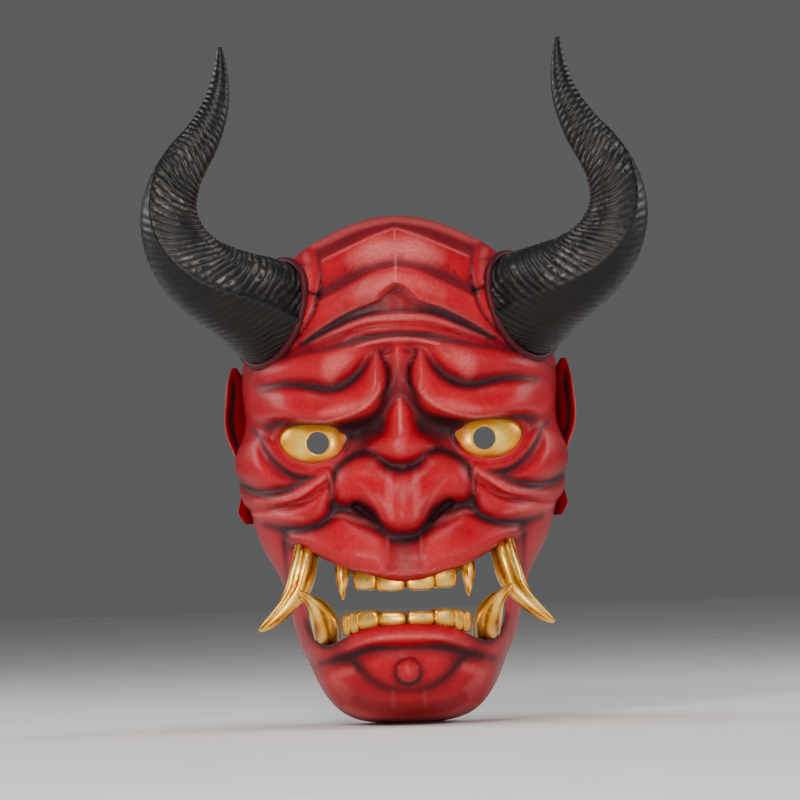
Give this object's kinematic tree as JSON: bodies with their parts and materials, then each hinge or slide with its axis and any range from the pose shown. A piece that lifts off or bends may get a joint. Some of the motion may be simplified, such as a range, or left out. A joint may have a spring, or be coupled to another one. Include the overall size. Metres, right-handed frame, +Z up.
{
  "type": "horned demon face mask",
  "caption": "Full-face demon mask: red cast shell with sight holes and an open mouth, bolted black horns, gilt eyes, teeth and tusks, inner pads and swinging strap rings.",
  "frame": {"origin": "on the mid-line, in the plane of the back rim that meets the wearer's head, at the height of the two sight holes", "axes": "+X to the viewer's right (the wearer's left), +Z up along the face, and the face looks towards -Y"},
  "size_m": [0.2492, 0.1009, 0.3372],
  "materials": {
    "red_lacquered_resin": "satin lacquer over cast resin",
    "black_dry_brushed_resin": "dry-brushed satin black",
    "gilt_resin": "gold paint with a brown wash",
    "brass_insert": "plain",
    "zinc_steel": "bright zinc plate",
    "black_foam": "open-cell foam"
  },
  "bodies": {
    "mask": {"face_shell": "red_lacquered_resin", "horn_left": "black_dry_brushed_resin", "horn_right": "black_dry_brushed_resin", "horn_inserts": "brass_insert", "horn_screws": "zinc_steel", "horn_washers": "zinc_steel", "eye_left": "gilt_resin", "eye_right": "gilt_resin", "upper_teeth": "gilt_resin", "lower_teeth": "gilt_resin", "upper_fang_left": "gilt_resin", "upper_fang_right": "gilt_resin", "upper_tusk_left": "gilt_resin", "upper_tusk_right": "gilt_resin", "lower_tusk_left": "gilt_resin", "lower_tusk_right": "gilt_resin", "brow_pad": "black_foam", "cheek_pad_left": "black_foam", "cheek_pad_right": "black_foam", "chin_pad": "black_foam", "strap_bracket_left": "zinc_steel", "strap_bracket_right": "zinc_steel", "bracket_screws": "zinc_steel"},
    "ring_left": {"strap_ring_left": "zinc_steel"},
    "ring_right": {"strap_ring_right": "zinc_steel"}
  },
  "joints": [
    {"name": "strap_ring_right_swing", "type": "hinge", "parent": "mask", "child": "ring_right", "pos_m": [0.0624, -0.015, 0.014], "axis": [0, 0, 1], "range_deg": [-35, 110]},
    {"name": "strap_ring_left_swing", "type": "hinge", "parent": "mask", "child": "ring_left", "pos_m": [-0.0624, -0.015, 0.014], "axis": [0, 0, 1], "range_deg": [-110, 35]}
  ]
}
